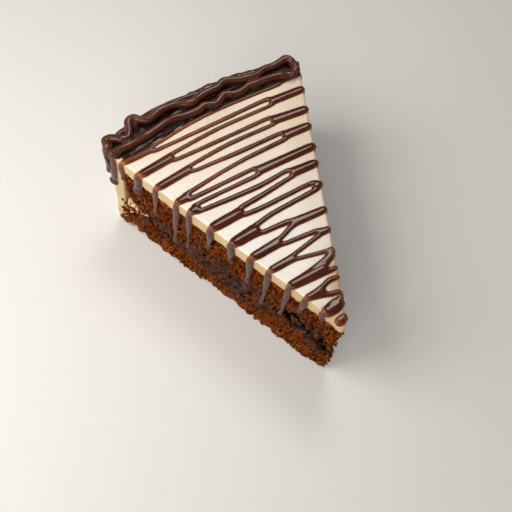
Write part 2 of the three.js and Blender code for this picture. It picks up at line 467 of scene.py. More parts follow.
# %% [markdown]
# ## Blobs
# An ellipsoid is the unit of work: added, it is a crumb or a smear; taken away, it is a pore or a hollow.
# Only the samples around it are touched, so thousands of them stay quick.

# %% Blobs
def blob(block, centre, radii, turn=None, add=True, blend=0.3):
    """Adds or takes away an ellipsoid. turn is a 3x3 matrix whose rows are the ellipsoid's own axes."""
    reach = max(radii) + blend + 0.3
    window = block.window(np.array(centre) - reach, np.array(centre) + reach)
    x, y, z = block.grid(window)
    if x.size * y.size * z.size == 0:
        return
    x, y, z = x - centre[0], y - centre[1], z - centre[2]
    if turn is not None:
        x, y, z = (row[0] * x + row[1] * y + row[2] * z for row in turn)
    distance = (np.sqrt((x / radii[0]) ** 2 + (y / radii[1]) ** 2 + (z / radii[2]) ** 2) - 1) * min(radii)
    old = block.d[window]
    block.d[window] = soft_union(old, distance, blend) if add else soft_cut(old, -distance, blend)


test = Block((-3, -3, -3), (3, 3, 3), 0.5)
blob(test, (0, 0, 0), (2, 1.5, 1))
print("one blob fills", int((test.d < 0).sum()), "of", test.d.size, "samples")

# %% [markdown]
# ## From a net to a piece
# A net becomes a mesh object that rides on the slice's one body and stands for its plain solids. Where
# vertices were merged, a quad may have lost a corner or closed up; such faces turn into triangles or go.

# %% A piece from a net
def open_faces(quads):
    """The corners of all faces in order and the sides of each, without the quads that closed up."""
    kept = quads != np.roll(quads, 1, axis=1)
    whole = (kept.sum(1) > 2) & (quads[:, 0] != quads[:, 2]) & (quads[:, 1] != quads[:, 3])
    quads, kept = quads[whole], kept[whole]
    return quads[kept], kept.sum(1)


def make_piece(name, vertices, quads, material, stands_for=(), values=None):
    """A smooth-shaded mesh object on the slice's one body. values are named numbers at its vertices."""
    mesh = bpy.data.meshes.new(name)
    places = ((vertices + APEX) * 0.001).astype(np.float32)
    corners, sides = open_faces(quads)
    mesh.vertices.add(len(places))
    mesh.vertices.foreach_set("co", places.ravel())
    mesh.loops.add(len(corners))
    mesh.loops.foreach_set("vertex_index", corners.astype(np.int32))
    mesh.polygons.add(len(sides))
    mesh.polygons.foreach_set("loop_start", (np.cumsum(sides) - sides).astype(np.int32))
    mesh.polygons.foreach_set("use_smooth", np.ones(len(sides), bool))
    mesh.update(calc_edges=True)
    mesh.validate()
    for key, numbers in (values or {}).items():
        mesh.attributes.new(key, "FLOAT", "POINT").data.foreach_set("value", numbers.astype(np.float32))
    mesh.materials.append(material)
    piece = bpy.data.objects.new(name, mesh)
    bpy.context.scene.collection.objects.link(piece)
    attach(piece, "root")
    if stands_for:
        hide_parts(*stands_for)
    heights = (1000 * places[:, 2].min()).round(1), (1000 * places[:, 2].max()).round(1)
    print(name, "-", int((sides - 2).sum()), "triangles, from", heights[0], "to", heights[1], "mm high")
    return piece


merged = np.array([(0, 1, 2, 3), (0, 1, 2, 2), (0, 0, 1, 1)])
print("a whole quad, one that lost a corner and one that closed up leave", open_faces(merged)[1], "sides")

# %% [markdown]
# ## Finishes
# A finish is a few nodes: noise mixes two near colours, and numbers kept at the vertices shade the deep
# places. The small class only makes node wiring short enough to read. Colours are linear values.

# %% Nodes in a few words
class Nodes:
    """A material or a group being wired: node() makes a node and links or sets its inputs by name."""

    def __init__(self, tree):
        self.tree = tree

    def node(self, kind, settings=None, **inputs):
        made = self.tree.nodes.new("ShaderNode" + kind)
        for key, value in (settings or {}).items():
            setattr(made, key, value)
        for key, value in inputs.items():
            self.put(made.inputs[key.replace("_", " ")], value)
        return made

    def put(self, socket, value):
        if isinstance(value, bpy.types.NodeSocket):
            self.tree.links.new(value, socket)
        elif isinstance(value, tuple) and len(value) == 3 and socket.type == "RGBA":
            socket.default_value = (*value, 1)
        else:
            socket.default_value = value

    def maths(self, operation, a, b=0.0, clamp=False):
        made = self.tree.nodes.new("ShaderNodeMath")
        made.operation, made.use_clamp = operation, clamp
        self.put(made.inputs[0], a)
        self.put(made.inputs[1], b)
        return made.outputs[0]

    def ramp(self, value, low, high, to_low=0.0, to_high=1.0):
        made = self.node("MapRange", {"interpolation_type": "SMOOTHSTEP"}, Value=value)
        for name, number in zip(("From Min", "From Max", "To Min", "To Max"), (low, high, to_low, to_high)):
            self.put(made.inputs[name], number)
        return made.outputs["Result"]

    def at_vertices(self, name):
        """A number that make_piece() kept at the vertices."""
        return self.node("Attribute", {"attribute_name": name}).outputs["Fac"]

    def mix(self, factor, a, b):
        made = self.node("Mix", {"data_type": "RGBA"})
        self.put(made.inputs["Factor"], factor)
        self.put(made.inputs["A"], a)
        self.put(made.inputs["B"], b)
        return made.outputs["Result"]


def new_material(name, build):
    """A material whose shader inputs come from build(nodes): a dict of Principled BSDF inputs."""
    material = bpy.data.materials.new(name)
    material.use_nodes = True
    nodes = Nodes(material.node_tree)
    shader = material.node_tree.nodes["Principled BSDF"]
    for key, value in build(nodes).items():
        nodes.put(shader.inputs[key], value)
    return material


def new_group(name, inputs, outputs, build):
    """A shader node group. inputs and outputs are {socket name: (type, default)}."""
    tree = bpy.data.node_groups.new(name, "ShaderNodeTree")
    for side, sockets in (("INPUT", inputs), ("OUTPUT", outputs)):
        for key, (kind, default) in sockets.items():
            socket = tree.interface.new_socket(key, in_out=side, socket_type="NodeSocket" + kind)
            socket.default_value = default
    entry, leave = tree.nodes.new("NodeGroupInput"), tree.nodes.new("NodeGroupOutput")
    nodes = Nodes(tree)
    for key, value in build(nodes, entry.outputs).items():
        nodes.put(leave.inputs[key], value)
    return tree


def use_group(nodes, tree, **inputs):
    made = nodes.tree.nodes.new("ShaderNodeGroup")
    made.node_tree = tree
    for key, value in inputs.items():
        nodes.put(made.inputs[key.replace("_", " ")], value)
    return made.outputs


print("the helper can:", [word for word in vars(Nodes) if not word.startswith("_")])

# %% [markdown]
# ## Mottling
# Nothing baked or spread has one even colour. Every finish starts from the same group: a slow and a fine
# noise added together, and the fine one by itself for grain and bumps.

# %% Mottling shared by all the finishes
def build_mottle(nodes, given):
    place = nodes.node("TexCoord").outputs["Object"]
    coarse = nodes.node("TexNoise", Vector=place, Scale=given["Coarse Scale"], Detail=3.0)
    fine = nodes.node("TexNoise", Vector=place, Scale=given["Fine Scale"], Detail=4.0, Roughness=0.6)
    halves = [nodes.maths("MULTIPLY", part.outputs["Fac"], 0.5) for part in (coarse, fine)]
    both = nodes.maths("ADD", *halves)
    return {"Mottle": nodes.ramp(both, 0.36, 0.64), "Fine": fine.outputs["Fac"]}


MOTTLE = new_group(
    "mottle",
    {"Coarse Scale": ("Float", 120.0), "Fine Scale": ("Float", 900.0)},
    {"Mottle": ("Float", 0.5), "Fine": ("Float", 0.5)},
    build_mottle,
)
print("group:", MOTTLE.name, "with sockets", [item.name for item in MOTTLE.interface.items_tree])

# %% [markdown]
# ## Sponge: its colour
# Chocolate crumb is red-brown. It is darker in moist patches and paler low down. Crests are painted
# golden as a painted highlight, and pores and places deep in the cut are painted nearly black as painted
# shade. Where fudge was smeared over it, a thin wet film covers the crumb. Crumb itself scarcely shines,
# so only the film has a coat.

# %% Sponge finish
def build_sponge(nodes):
    mottle = use_group(nodes, MOTTLE, Coarse_Scale=320.0, Fine_Scale=1400.0)
    hollow = nodes.at_vertices("hollow")
    low = nodes.at_vertices("bottom")
    pore = nodes.at_vertices("pore")
    crumb = nodes.mix(mottle["Mottle"], (0.090, 0.0130, 0.0014), (0.25, 0.052, 0.006))
    crumb = nodes.mix(nodes.maths("MULTIPLY", low, 0.45), crumb, (0.34, 0.092, 0.012))
    moist = use_group(nodes, MOTTLE, Coarse_Scale=150.0, Fine_Scale=420.0)["Mottle"]
    crumb = nodes.mix(nodes.ramp(moist, 0.3, 0.8, 0.0, 0.72), crumb, (0.050, 0.0065, 0.0008))
    # Painted highlight: crests, where a vertex stands above the surface around it, are painted golden.
    painted_crest_light = nodes.ramp(pore, -0.25, 0.02, 0.45, 0.0)
    crumb = nodes.mix(painted_crest_light, crumb, (0.44, 0.145, 0.026))
    crumb = nodes.mix(nodes.ramp(mottle["Fine"], 0.42, 0.6, 0.6, 0.0), crumb, (0.035, 0.004, 0.0006))
    # Painted shade: places deep inside the cut and down the pores are painted nearly black.
    deep_shade, pore_shade = nodes.ramp(hollow, 0.3, 2.0, 0.0, 0.9), nodes.ramp(pore, 0.02, 0.32, 0.0, 0.85)
    depth = nodes.maths("ADD", deep_shade, pore_shade, True)
    colour = nodes.mix(depth, crumb, (0.016, 0.002, 0.0004))
    smear = nodes.at_vertices("smear")
    film = nodes.mix(mottle["Mottle"], (0.010, 0.0020, 0.0007), (0.080, 0.026, 0.014))
    bump = nodes.node("Bump", Strength=0.7, Distance=0.0004, Height=mottle["Fine"])
    dry = nodes.ramp(mottle["Fine"], 0.35, 0.7, 0.35, 0.8)
    return {
        "Base Color": nodes.mix(nodes.maths("MULTIPLY", smear, 0.85), colour, film),
        "Roughness": nodes.maths("SUBTRACT", dry, nodes.maths("MULTIPLY", smear, 0.2)),
        "Normal": bump.outputs["Normal"],
        "Specular IOR Level": 0.02,
        "Coat Weight": nodes.maths("MULTIPLY", smear, 0.12),
        "Coat Roughness": 0.2,
    }


SPONGE = new_material("chocolate sponge", build_sponge)
print("finish:", SPONGE.name)

# %% [markdown]
# ## Sponge: the wedge
# Every layer starts as a wedge between two heights, with its vertical edges softly rounded. Places on
# a cut face are then given as a cook would: how far from the tip, how high, how deep.

# %% The wedge that every layer starts from
def wedge(block, tip_cut, rim_inset, floor, roof, rounding=0.5, proud=0.0):
    """Fills the block with a layer: floor and roof are heights, proud moves the cut faces outwards."""
    x, y, z = block.grid()
    x2, y2 = x[:, :, 0], y[:, :, 0]
    cuts = soft_cut(past_left(x2, y2) - proud, past_right(x2, y2) - proud, 1.4)
    plan = soft_cut(soft_cut(cuts, tip_cut - y2 + 0 * x2, 1.0), past_rim(x2, y2, rim_inset), 0.8)
    top = z - roof(x2, y2)[:, :, None]
    bottom = floor(x2, y2)[:, :, None] - z
    block.d[...] = soft_cut(soft_cut(plan[:, :, None], top, rounding), bottom, rounding)


def on_cut(side, along, height, depth=0.0):
    """A point on a cut face, so far from the tip and so far inside. side is -1 for left, 1 for right."""
    a = side * HALF_ANGLE
    inward = np.array([-side * cos(HALF_ANGLE), sin(HALF_ANGLE)])
    flat = along * np.array([sin(a), cos(a)]) + depth * inward
    return np.array([flat[0], flat[1], height])


def cut_axes(side):
    """Rows: along the cut face towards the rim, up, and out of the face."""
    a = side * HALF_ANGLE
    return np.array([[sin(a), cos(a), 0], [0, 0, 1], [side * cos(HALF_ANGLE), -sin(HALF_ANGLE), 0]])


print("a point halfway along the left cut, mm:", on_cut(-1, 50, 20).round(1))

# %% [markdown]
# ## Sponge: torn faces
# Cake crumb is a foam that a knife tears rather than cuts. Noise roughens the faces, lumps of two sizes
# break them up, thousands of flattened hollows are scooped out as pores, and small lumps are stuck back
# on where the knife pulled crumb out.

# %% Roughen and pit a layer
def roughen(block, waves, reach=2.2):
    """waves are (amount in mm, (size along, size up), seed)."""
    at, points = near_surface(block, reach)
    shift = np.zeros(len(points), np.float32)
    for amount, (along, up), seed in waves:
        shift += amount * noise(points, (along * 0.8, along, up), seed)
    block.d[at] += shift


def crumble(block, cells, reach=1.6):
    """Turns the surface into lumps with creases between them. cells are (depth in mm, size in mm, seed)."""
    at, points = near_surface(block, reach)
    warped = points + 0.5 * np.stack([noise(points, 2.3, warp_seed) for warp_seed in (7, 8, 9)], 1)
    for depth, size, seed in cells:
        block.d[at] += depth * (lumps(warped, size, seed) - 0.45)


def pit_cut_faces(block, random, floor, roof, pits, longest):
    """Scoops pores out of both cut faces and sticks crumbs on them."""
    smallest, largest, margin = 0.28, 1.35, 0.3
    for side, add in product((-1, 1), (False, True)):
        for _ in range(pits if not add else pits // 3):
            along = random.uniform(1.5, longest)
            size = smallest + (largest - smallest) * random.beta(1.1, 4.2)
            centre = on_cut(side, along, 0)
            low, high = floor(centre[0], centre[1]) + margin, roof(centre[0], centre[1]) - margin
            height = random.uniform(low, high)
            depth = random.uniform(-0.1, 0.5) if not add else random.uniform(-0.05, 0.3)
            tilt = random.uniform(0, pi)
            level, up, out = cut_axes(side)
            rows = np.array([cos(tilt) * level + sin(tilt) * up, cos(tilt) * up - sin(tilt) * level, out])
            radii = tuple(size * random.uniform(*span) for span in ((1.0, 1.7), (0.6, 1.0), (0.9, 1.6)))
            if add:
                radii = tuple(0.7 * r for r in radii)
            blob(block, on_cut(side, along, height, depth), radii, rows, add, 0.2)


sheet = Block((0, 0, -2), (20, 20, 2), 0.5)
sheet.d = sheet.grid()[2] + 0 * sheet.d
crumble(sheet, [(1.0, 2.8, 1)])
sheet_heights = net(sheet)[0][:, 2]
print("a flat sheet, crumbled by 1 mm, is now rough by", sheet_heights.std().round(2), "mm")

# %% [markdown]
# ## Sponge: smears and hollows
# The knife dragged soft fudge up and down over the crumb, more on the tall left face than elsewhere.
# Near the tip two hollows are open in the cut, and fudge only lines them. Both are short lists in
# places along the cut, used for the shape of the sponge, for its colour and for the fudge itself.

# %% Smears and hollows
# Where the fudge was smeared over the left cut: distance along it, height, half length, half height.
SMEARS = [
    (89, 18, 4, 1.8), (82, 21, 6, 3.2), (76, 18, 5, 4.5), (69, 18, 4, 3), (62, 21, 6, 5.5),
    (57, 18, 6, 6), (53, 26, 3, 3), (46, 16, 7, 7), (42, 22, 4.5, 4.5), (36, 23, 4, 4.5),
    (30, 19, 5, 4.5), (26, 29, 2.5, 2), (12, 27, 4, 3), (10, 15, 4, 3),
]
# On the right cut the same smears lie this much further from the tip.
RIGHT_SHIFT = 5.0
# Hollows in the left cut that the fudge only lines: the same numbers, then how deep they are.
POCKETS = [(18.5, 23.5, 8.0, 5.6, 4.4), (5.6, 19.5, 3.8, 5.6, 2.6)]


def pockets_of(side):
    """The left cut has both hollows, the right cut only the larger one."""
    return POCKETS if side < 0 else POCKETS[:1]


def along_cut(x, y):
    return np.abs(x) * sin(HALF_ANGLE) + y * cos(HALF_ANGLE)


def smeared(vertices):
    """0 for clean crumb, 1 where fudge covers it. The right cut has the same smears, a little shifted."""
    x, y, z = vertices.T
    along = along_cut(x, y) - np.where(x > 0, RIGHT_SHIFT, 0.0)
    cover = np.full(len(x), -9.0)
    for at, height, half_length, half_height in SMEARS + [pocket[:4] for pocket in POCKETS]:
        out = np.sqrt(((along - at) / half_length) ** 2 + ((z - height) / half_height) ** 2)
        cover = np.maximum(cover, 1.15 - out)
    cover += 0.45 * noise(vertices, 3.0, 81) + 0.3 * noise(vertices, 1.1, 82)
    on_face = smooth_step(-3.0, -1.5, past_cuts(x, y))
    return smooth_step(-0.15, 0.35, cover) * on_face


def carve_pockets(block, shrink=0.0, blend=0.6):
    """Scoops out the hollows near the tip."""
    for side in (-1, 1):
        for at, height, half_length, half_height, depth in pockets_of(side):
            radii = (half_length - shrink, half_height - shrink, depth - 0.35 * shrink)
            blob(block, on_cut(side, at, height, -0.1), radii, cut_axes(side), False, blend)


print(len(SMEARS), "smears and", len(POCKETS), "hollows on the left cut")

# %% [markdown]
# ## The two sponge layers
# The lower layer carries the slice, with crumbled edges at its tip and at the foot of the wall, where
# the crumb spilled out under the cream. The upper layer lies on the filling.

# %% The two sponge layers
SPONGE_STEP = 0.38
SPONGE_TIP = 2.4
CHIP_DEPTH, CHIP_REACH = 3.2, 13.0
TIP_LIFT, TIP_LIFT_REACH = 2.2, 14.0
BURIED, COARSE_CELL = 5.0, 1.7
left_corner = rim_point(-HALF_ANGLE, WALL)


def lower_floor(x, y):
    """The underside is flat, but crumbled up at the tip and at the left corner of the rim."""
    from_corner = np.hypot(x - left_corner[0], y - left_corner[1])
    chip = CHIP_DEPTH * (1 - smooth_step(0, CHIP_REACH, from_corner))
    return chip + TIP_LIFT * (1 - smooth_step(0, TIP_LIFT_REACH, y))


def above(height, amount):
    return lambda x, y: height(x, y) + amount


def make_sponge(name, node, floor, roof, seed, pits, spread=0.0):
    """spread is how far the crumb has spilled out under the cream wall."""
    low, high = room_round(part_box(node), 2.5)
    block = Block(low, high + spread, SPONGE_STEP)
    wedge(block, SPONGE_TIP, WALL + LAYER_GAP - spread, floor, roof)
    if spread:
        x, y, z = block.grid()
        inset = WALL + LAYER_GAP - spread * (1 - smooth_step(2, 14, z))
        block.d = soft_cut(block.d, past_rim(x, y, 0.0) + inset, 0.6).astype(np.float32)
    roughen(block, [(0.6, (6.5, 4.5), seed), (0.4, (2.4, 2.0), seed + 1)])
    crumble(block, [(1.05, 2.8, seed + 3), (0.6, 1.4, seed + 4)])
    carve_pockets(block)
    random = np.random.default_rng(seed)
    pit_cut_faces(block, random, floor, roof, pits, np.hypot(*LEFT_END) - WALL)
    block.d = np.maximum(block.d, (0.02 - block.grid()[2]).astype(np.float32) + 0 * block.d)
    vertices, quads = drop_loose_bits(*net(block))
    vertices[:, 2] = np.maximum(vertices[:, 2], 0.0)
    x, y, z = vertices.T
    # hollow and pore are the masks for painted shade: depth inside the cut, and depth below the surface
    # round a vertex.
    hollow = -np.maximum(past_cuts(x, y), SPONGE_TIP - 0.6 - y)
    bottom = 1 - smooth_step(2.0, 9.0, z)
    values = {"hollow": hollow, "bottom": bottom, "smear": smeared(vertices), "pore": sunk(vertices, quads)}
    vertices, quads, values = thin_out(vertices, quads, values, BURIED, COARSE_CELL)
    return make_piece(name, vertices, quads, SPONGE, [node], values)


make_sponge("lower_sponge", "sponge_lower", lower_floor, lower_top, 11, 900, 3.2)
make_sponge("upper_sponge", "sponge_upper", above(filling_top, LAYER_GAP), upper_top, 23, 1300)

# %% [markdown]
# ## Fudge: its colour
# Fudge is almost black. Its proud folds are painted a lighter red-brown as a painted highlight, and they
# are wet and shine; its hollows and the places deep in the cut are painted near-black as painted shade.
# The gloss is a coat that fades out with depth, so that the hollows stay dark.

# %% Fudge finish
def build_fudge(nodes):
    mottle = use_group(nodes, MOTTLE, Coarse_Scale=180.0, Fine_Scale=800.0)
    pore = nodes.at_vertices("pore")
    hollow = nodes.at_vertices("hollow")
    colour = nodes.mix(mottle["Mottle"], (0.016, 0.0026, 0.0007), (0.085, 0.023, 0.010))
    # Painted highlight: the proud folds are painted a lighter red-brown.
    painted_crest_light = nodes.ramp(pore, -0.35, -0.1, 0.5, 0.0)
    colour = nodes.mix(painted_crest_light, colour, (0.16, 0.055, 0.027))
    # Painted shade: hollows, pores and the places deep in the cut are painted near-black.
    shade = nodes.maths("ADD", nodes.ramp(pore, -0.03, 0.14), nodes.ramp(hollow, 0.6, 1.9), True)
    colour = nodes.mix(shade, colour, (0.004, 0.0005, 0.0001))
    bump = nodes.node("Bump", Strength=0.35, Distance=0.0003, Height=mottle["Fine"])
    return {
        "Base Color": colour,
        "Roughness": nodes.ramp(mottle["Mottle"], 0.2, 0.8, 0.1, 0.24),
        "Normal": bump.outputs["Normal"],
        "Specular IOR Level": 0.02,
        "Coat Weight": nodes.maths("MULTIPLY", nodes.maths("SUBTRACT", 1.0, shade, True), 0.22),
        "Coat Roughness": 0.14,
    }


FUDGE = new_material("dark fudge", build_fudge)
print("finish:", FUDGE.name)

# %% [markdown]
# ## Threads
# Anything poured or rolled is a thread: a smooth curve through a few points, each with its own radius,
# squashed towards the face it lies on. Curls of fudge, ropes, the zig-zag and the runs all use it.

# %% Threads
UP = np.array([0.0, 0.0, 1.0])


def smooth_path(points, spacing=0.7):
    """A Catmull-Rom curve through the points, sampled at about the given spacing."""
    p = np.array(points, float)
    p = np.vstack([2 * p[0] - p[1], p, 2 * p[-1] - p[-2]])
    out = []
    for a, b, c, d in zip(p, p[1:], p[2:], p[3:]):
        n = max(2, int(np.linalg.norm(c[:3] - b[:3]) / spacing))
        t = (np.arange(n) / n)[:, None]
        bend, twist = 2 * a - 5 * b + 4 * c - d, 3 * b - a - 3 * c + d
        out.append(0.5 * (2 * b + (c - a) * t + bend * t**2 + twist * t**3))
    return np.vstack(out + [p[-2:-1]])


def thread(block, points, blend=1.0, flat=1.0, face=UP):
    """Lays one thread. points are (x, y, z, radius) in mm; flat squashes it towards the face it lies on."""
    path = smooth_path(points)
    reach = path[:, 3].max() + blend + 1.0
    outer = block.window(path[:, :3].min(0) - reach, path[:, :3].max(0) + reach)
    own = np.full([cut.stop - cut.start for cut in outer], FAR, np.float32)
    squash = 1 / flat**2 - 1
    for a, b in zip(path, path[1:]):
        window = block.window(np.minimum(a, b)[:3] - reach, np.maximum(a, b)[:3] + reach)
        x, y, z = block.grid(window)
        ab = b[:3] - a[:3]
        ab2 = float(ab @ ab) + 1e-9
        t = np.clip(((x - a[0]) * ab[0] + (y - a[1]) * ab[1] + (z - a[2]) * ab[2]) / ab2, 0, 1)
        dx, dy, dz = x - a[0] - t * ab[0], y - a[1] - t * ab[1], z - a[2] - t * ab[2]
        out = dx * face[0] + dy * face[1] + dz * face[2]
        distance = np.sqrt(dx**2 + dy**2 + dz**2 + squash * out**2) - (a[3] + t * (b[3] - a[3]))
        inner = tuple(slice(w.start - o.start, w.stop - o.start) for w, o in zip(window, outer))
        own[inner] = np.minimum(own[inner], distance)
    block.d[outer] = soft_union(block.d[outer], own, blend)


bend = smooth_path([(0, 0, 0, 1), (5, 2, 0, 1), (10, 0, 0, 1)])
bend_length = np.linalg.norm(np.diff(bend[:, :3], axis=0), axis=1).sum()
print("a bend through 3 points becomes", len(bend), "points, length", bend_length.round(2))

# %% [markdown]
# ## Fudge filling
# The filling was spread while soft. It stands a little back in the cut, is smeared over the crumb above
# and below, lines the hollows near the tip and has curls that the knife rolled up.

# %% Fudge filling
FUDGE_STEP = 0.42
FUDGE_TIP = 3.4
FOLDS = 26
# Where the curls of fudge gather: distance along the cut, spread, height.
FOLD_PLACES = [(18.5, 3.2, 24), (6, 1.8, 20), (50, 9, 19), (68, 9, 20)]


def add_folds(block, random):
    """Curls of fudge that the knife rolled up in the pockets and along the filling."""
    for side in (-1, 1):
        for _ in range(FOLDS):
            at, spread, height = FOLD_PLACES[random.integers(4)]
            along, up = max(at + random.normal(0, spread), 3), height + random.normal(0, 1.8)
            turn, radius = random.uniform(0, 2 * pi), random.uniform(0.9, 2.0)
            sweep = random.uniform(1.6, 3.6)
            depth = random.uniform(0.5, 1.2) if at < 20 else 0.3
            arc = []
            for b in np.linspace(turn, turn + sweep, 5):
                place = on_cut(side, along + radius * cos(b), up + radius * sin(b), depth)
                arc.append((*place, random.uniform(0.35, 0.55)))
            thread(block, arc, 0.3)


def make_filling():
    """The layer of fudge, the lining of the hollows, the smears on the cut faces and the curls."""
    random = np.random.default_rng(33)
    block = Block(*room_round(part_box("filling"), (3, 3, 9)), FUDGE_STEP)
    floor, roof = above(lower_top, -0.4), above(filling_top, 0.6)
    wedge(block, FUDGE_TIP + 0.8, SEAM_INSET + LAYER_GAP, floor, roof, 1.0, -0.8)
    for side in (-1, 1):
        for at, height, half_length, half_height, depth in pockets_of(side):
            radii = (half_length + 0.2, half_height + 0.2, depth + 1.0)
            blob(block, on_cut(side, at, height, 0.1), radii, cut_axes(side), True, 0.8)
    for side, (at, height, half_length, half_height) in product((-1, 1), SMEARS):
        radii = (0.85 * half_length, 0.85 * half_height, 0.95)
        centre = on_cut(side, at + (RIGHT_SHIFT if side > 0 else 0), height, 0.55)
        blob(block, centre, radii, cut_axes(side), True, 0.5)
    x, y, z = block.grid()
    face = past_cuts(x, y) - 0.2
    block.d = np.maximum(block.d, np.maximum(face, FUDGE_TIP - y) + 0 * z).astype(np.float32)
    roughen(block, [(0.7, (4.0, 3.0), 31), (0.7, (1.8, 1.5), 32), (0.4, (0.9, 0.9), 36)], 2.6)
    crumble(block, [(1.0, 2.4, 34), (0.7, 1.3, 35)], 2.2)
    carve_pockets(block, 0.3)
    add_folds(block, random)
    vertices, quads = drop_loose_bits(*net(block))
    x, y, _ = vertices.T
    # pore and hollow are the masks for the fudge's painted highlight and painted shade.
    values = {"pore": sunk(vertices, quads), "hollow": -past_cuts(x, y)}
    vertices, quads, values = thin_out(vertices, quads, values, BURIED + 1.5, COARSE_CELL)
    return make_piece("fudge_filling", vertices, quads, FUDGE, ["filling"], values)


make_filling()

# %% [markdown]
# ## Cream: its colour
# Cream is nearly white on top and down the wall. Towards the rim and the right it is painted ivory and
# tan: painted shade where the light falls off. Along the right edge and at the tip it is painted a darker
# tan as painted shade. The cut face is yellower, partly the cream's own inside colour and partly a painted
# warm bounce of light. A little light passes under the surface.

# %% Cream finish
def build_cream(nodes):
    mottle = use_group(nodes, MOTTLE, Coarse_Scale=60.0, Fine_Scale=1200.0)
    outside = nodes.at_vertices("skin")
    place = nodes.node("TexCoord").outputs["Object"]
    across = nodes.node("SeparateXYZ", Vector=place).outputs
    # Painted shade: towards the rim and the right the cream is painted ivory to tan, where the light falls
    # off.
    slanted = nodes.maths("ADD", across["Y"], nodes.maths("MULTIPLY", across["X"], 0.5))
    painted_falloff_shade = nodes.ramp(slanted, -0.02, 0.045)
    cream_in_full_light = nodes.mix(mottle["Mottle"], (0.77, 0.71, 0.63), (0.82, 0.77, 0.70))
    cream_in_painted_shade = nodes.mix(mottle["Mottle"], (0.69, 0.57, 0.42), (0.75, 0.64, 0.50))
    skin = nodes.mix(painted_falloff_shade, cream_in_full_light, cream_in_painted_shade)
    # Painted shade: along the right edge and at the tip the cream is painted a darker tan.
    thin = nodes.at_vertices("thin")
    skin = nodes.mix(thin, skin, (0.52, 0.345, 0.20))
    # The cut face: the cream's own yellower inside, with a painted warm bounce of light in it.
    inside = nodes.mix(mottle["Mottle"], (0.60, 0.40, 0.195), (0.71, 0.515, 0.27))
    bump = nodes.node("Bump", Strength=0.12, Distance=0.0002, Height=mottle["Fine"])
    return {
        "Base Color": nodes.mix(nodes.ramp(outside, 0.35, 0.85), inside, skin),
        "Roughness": 0.42,
        "Normal": bump.outputs["Normal"],
        "Subsurface Weight": 0.25,
        "Subsurface Radius": (0.002, 0.0012, 0.0006),
        "Subsurface Scale": 1.0,
    }


CREAM = new_material("set cream", build_cream)
print("finish:", CREAM.name)

# %% [markdown]
# ## Cream seam
# Near the wall the baker closed the gap between the sponges with a ring of cream, to keep the fudge in.
# The cut shows it as a thin pale line that ends where the fudge begins.

# %% Cream seam
SEAM_STEP = 0.4
CREAM_BURIED, CREAM_CELL = 3.0, 2.0


def make_seam():
    """The thin layer of cream between the sponges, from the wall to where the fudge begins."""
    block = Block(*room_round(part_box("cream_seam"), 2.0), SEAM_STEP)
    wedge(block, 1.0, WALL + LAYER_GAP, above(lower_top, 0.1), above(filling_top, 0.1), 0.4, 0.1)
    x, y, _ = block.grid()
    start = (-past_rim(x[:, :, 0], y[:, :, 0]) - SEAM_INSET)[:, :, None]
    block.d = np.maximum(block.d, start.astype(np.float32))
    roughen(block, [(0.5, (4.0, 2.0), 41), (0.35, (1.8, 1.2), 42)], 2.0)
    vertices, quads = drop_loose_bits(*net(block))
    vertices, quads, values = thin_out(relax(vertices, quads, 1), quads, {}, CREAM_BURIED, COARSE_CELL)
    return make_piece("cream_seam_layer", vertices, quads, CREAM, ["cream_seam"], values)


make_seam()

# %% [markdown]
# ## Cream cover
# The cream was set cold and cut with a clean knife, so its faces are smooth with crisp edges. Only the
# line where it meets the crumb is uneven, and the foot of the wall is thin. A small slit was left open
# in the cut of the wall.

# %% Cream on top and down the wall
CREAM_STEP = 0.5


def wall_face(x, y, z):
    """The outer face of the wall: it stands a little further in near the left corner and at its foot."""
    dent = 1.5 * (1 - smooth_step(-39, -12, x)) + 0.6 * (1 - smooth_step(0, 9, z))
    return past_rim(x, y, dent)


